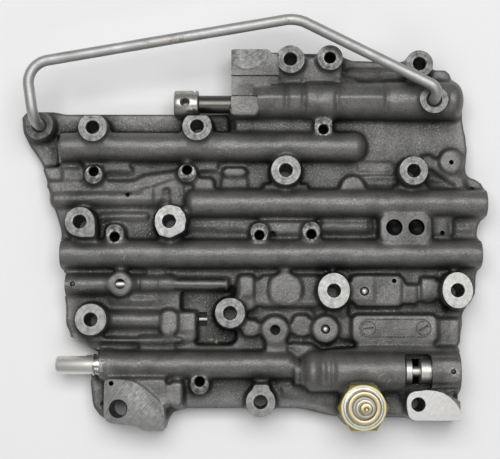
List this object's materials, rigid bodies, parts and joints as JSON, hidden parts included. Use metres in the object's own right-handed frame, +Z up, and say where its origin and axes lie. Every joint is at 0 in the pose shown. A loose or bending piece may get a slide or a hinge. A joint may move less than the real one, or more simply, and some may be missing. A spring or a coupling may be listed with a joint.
{
  "type": "transmission valve body",
  "caption": "Cast-iron hydraulic valve body of an automatic transmission, with ribbed valve bores, sliding spools, an oil tube, a selector valve, a throttle plunger and a pressure switch.",
  "frame": {"origin": "on the machined mating face, near the middle of the casting", "axes": "+Z up out of the mating face towards the bolt bosses, +X along the valve bores away from the selector valve's head, +Y towards the oil tube"},
  "size_m": [0.2758, 0.239, 0.0496],
  "materials": {
    "cast_iron": "sand cast, dark grey, bosses machined bright",
    "tube_steel": "drawn steel tube, slightly dull",
    "ground_steel": "ground and polished",
    "spring_wire": "drawn spring wire",
    "plug_aluminium": "turned",
    "zinc_plate": "yellow passivated zinc plate",
    "insulator": "moulded phenolic",
    "terminal_brass": "plated brass"
  },
  "bodies": {
    "casting": {"valve_body_casting": "cast_iron", "oil_transfer_tube": "tube_steel", "switch_body": "zinc_plate", "switch_insulator": "insulator", "switch_terminal": "terminal_brass", "plunger_sleeve": "ground_steel", "sleeve_pin": "ground_steel", "check_ball_left": "ground_steel", "check_ball_right": "ground_steel", "throttle_spring": "spring_wire", "shift_plug": "plug_aluminium", "shift_pin": "ground_steel", "shift_spring": "spring_wire", "accumulator_plug": "plug_aluminium", "accumulator_pin": "ground_steel", "accumulator_spring": "spring_wire", "pressure_regulator_plug": "plug_aluminium", "pressure_regulator_pin": "ground_steel", "pressure_regulator_spring": "spring_wire", "relay_plug": "plug_aluminium", "relay_pin": "ground_steel", "relay_spring": "spring_wire", "governor_plug": "plug_aluminium", "governor_pin": "ground_steel", "governor_spring": "spring_wire", "timing_plug": "plug_aluminium", "timing_pin": "ground_steel", "timing_spring": "spring_wire"},
    "manual_valve": {"manual_valve": "ground_steel"},
    "throttle_plunger": {"throttle_plunger": "ground_steel"},
    "throttle_valve": {"throttle_valve": "ground_steel"},
    "shift_valve": {"shift_valve": "ground_steel"},
    "accumulator_valve": {"accumulator_valve": "ground_steel"},
    "pressure_regulator_valve": {"pressure_regulator_valve": "ground_steel"},
    "relay_valve": {"relay_valve": "ground_steel"},
    "governor_valve": {"governor_valve": "ground_steel"},
    "timing_valve": {"timing_valve": "ground_steel"}
  },
  "joints": [
    {"name": "manual_valve_slide", "type": "slide", "parent": "casting", "child": "manual_valve", "axis": [1, 0, 0], "range_m": [-0.006, 0.0188]},
    {"name": "throttle_plunger_slide", "type": "slide", "parent": "casting", "child": "throttle_plunger", "axis": [1, 0, 0], "range_m": [0, 0.008], "stiffness_N_per_m": 400, "deforming": ["throttle_spring"]},
    {"name": "throttle_valve_slide", "type": "slide", "parent": "casting", "child": "throttle_valve", "axis": [-1, 0, 0], "range_m": [0, 0.004], "stiffness_N_per_m": 400, "deforming": ["throttle_spring"]},
    {"name": "shift_valve_slide", "type": "slide", "parent": "casting", "child": "shift_valve", "axis": [-1, 0, 0], "range_m": [0, 0.0065], "stiffness_N_per_m": 300, "deforming": ["shift_spring"]},
    {"name": "accumulator_valve_slide", "type": "slide", "parent": "casting", "child": "accumulator_valve", "axis": [1, 0, 0], "range_m": [0, 0.008], "stiffness_N_per_m": 300, "deforming": ["accumulator_spring"]},
    {"name": "pressure_regulator_valve_slide", "type": "slide", "parent": "casting", "child": "pressure_regulator_valve", "axis": [-1, 0, 0], "range_m": [0, 0.007], "stiffness_N_per_m": 300, "deforming": ["pressure_regulator_spring"]},
    {"name": "relay_valve_slide", "type": "slide", "parent": "casting", "child": "relay_valve", "axis": [1, 0, 0], "range_m": [0, 0.006], "stiffness_N_per_m": 300, "deforming": ["relay_spring"]},
    {"name": "governor_valve_slide", "type": "slide", "parent": "casting", "child": "governor_valve", "axis": [-1, 0, 0], "range_m": [0, 0.0045], "stiffness_N_per_m": 300, "deforming": ["governor_spring"]},
    {"name": "timing_valve_slide", "type": "slide", "parent": "casting", "child": "timing_valve", "axis": [-1, 0, 0], "range_m": [0, 0.006], "stiffness_N_per_m": 300, "deforming": ["timing_spring"]}
  ]
}
